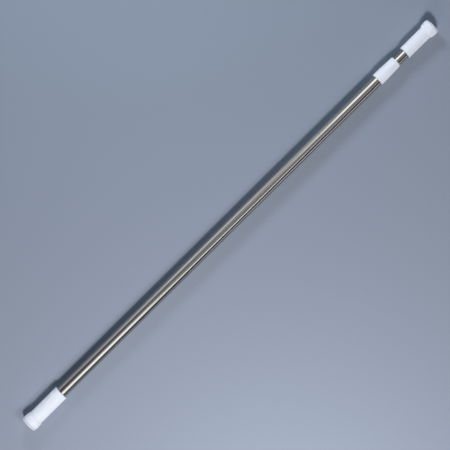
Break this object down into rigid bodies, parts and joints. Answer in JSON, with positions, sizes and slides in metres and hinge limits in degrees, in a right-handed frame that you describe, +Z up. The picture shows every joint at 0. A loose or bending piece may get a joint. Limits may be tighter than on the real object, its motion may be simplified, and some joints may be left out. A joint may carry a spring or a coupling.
{
  "type": "window security bar",
  "caption": "Telescopic tension bar: two polished tubes with a twist lock and spring inside, a tapered mouth collar, and flared white end sleeves with grip pads that press on the window jambs.",
  "frame": {"origin": "centre of the outer foot pad's face, on the bar's axis", "axes": "+X along the bar towards the inner foot, +Z up, square to the bar"},
  "size_m": [1.0365, 0.0322, 0.0322],
  "materials": {
    "polished_tube": "polished stainless tube with fine turned lines",
    "white_plastic": "satin white moulded plastic",
    "white_rubber": "white non-slip elastomer",
    "grey_plug": "grey moulded plug plastic",
    "black_nylon": "black nylon",
    "natural_nylon": "natural nylon",
    "zinc_steel": "zinc-plated steel",
    "spring_steel": "drawn spring wire"
  },
  "bodies": {
    "outer_section": {"outer_tube": "polished_tube", "outer_end_sleeve": "white_plastic", "outer_foot_pad": "white_rubber", "outer_end_plug": "grey_plug", "outer_foot_screw": "zinc_steel", "mouth_collar": "white_plastic"},
    "glide": {"glide_ring": "natural_nylon"},
    "lock_unit": {"cam_core": "black_nylon", "lock_washer": "zinc_steel", "lock_screw": "zinc_steel", "plunger_rod": "zinc_steel", "core_pin": "zinc_steel", "stop_washer": "zinc_steel", "stop_nut": "zinc_steel", "compression_spring": "spring_steel"},
    "cam": {"cam_ring": "natural_nylon"},
    "inner_section": {"inner_tube": "polished_tube", "tube_bush": "grey_plug", "bush_pins": "zinc_steel", "spring_washer": "zinc_steel", "inner_end_sleeve": "white_plastic", "inner_foot_pad": "white_rubber", "inner_end_plug": "grey_plug", "inner_foot_screw": "zinc_steel"}
  },
  "joints": [
    {"name": "telescope", "type": "slide", "parent": "outer_section", "child": "glide", "axis": [1, 0, 0], "range_m": [0, 0.72]},
    {"name": "twist", "type": "hinge", "parent": "glide", "child": "lock_unit", "pos_m": [0.08, 0, 0], "axis": [1, 0, 0], "range_deg": [-40, 40]},
    {"name": "spring_travel", "type": "slide", "parent": "lock_unit", "child": "inner_section", "axis": [1, 0, 0], "range_m": [-0.0224, 0], "stiffness_N_per_m": 2400, "springref_m": 0.008, "deforming": ["compression_spring"]},
    {"name": "cam_turn", "type": "hinge", "parent": "lock_unit", "child": "cam", "pos_m": [0.036, 0, 0.0005], "axis": [1, 0, 0], "range_deg": [-40, 40]}
  ],
  "couplings": [
    {"joint": "cam_turn", "follows": "twist", "ratio": -1}
  ]
}
